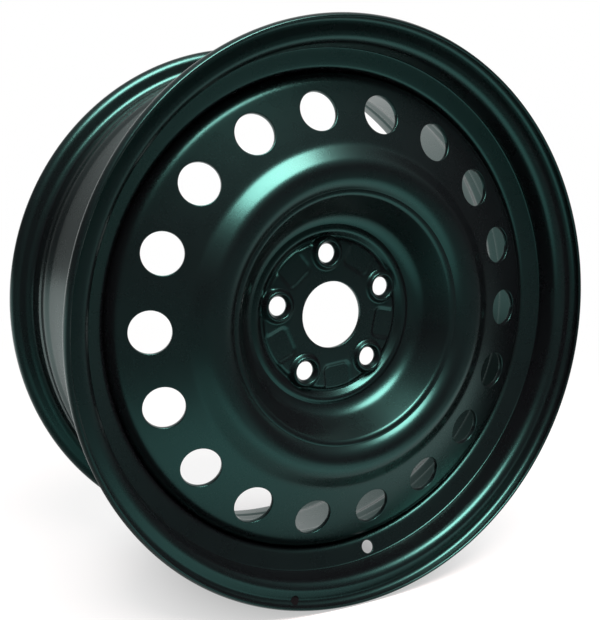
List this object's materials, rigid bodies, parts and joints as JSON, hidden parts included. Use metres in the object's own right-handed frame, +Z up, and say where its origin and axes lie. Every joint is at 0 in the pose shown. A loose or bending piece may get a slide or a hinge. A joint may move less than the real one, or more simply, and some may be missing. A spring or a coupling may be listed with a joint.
{
  "type": "steel wheel rim",
  "caption": "Pressed steel road wheel: a rolled drop-centre rim welded to a stamped disc with round vent holes, raised nut seats and a centre bore.",
  "frame": {"origin": "the wheel's centre: on the spin axis, halfway between the two flanges", "axes": "+Y along the spin axis, from the outboard face towards the vehicle; +Z up; the outboard face looks along -Y"},
  "size_m": [0.4712, 0.2038, 0.471],
  "materials": {
    "satin_black_paint": "satin"
  },
  "bodies": {
    "root": {"rim": "satin_black_paint", "disc": "satin_black_paint", "weld_beads": "satin_black_paint"}
  },
  "joints": []
}
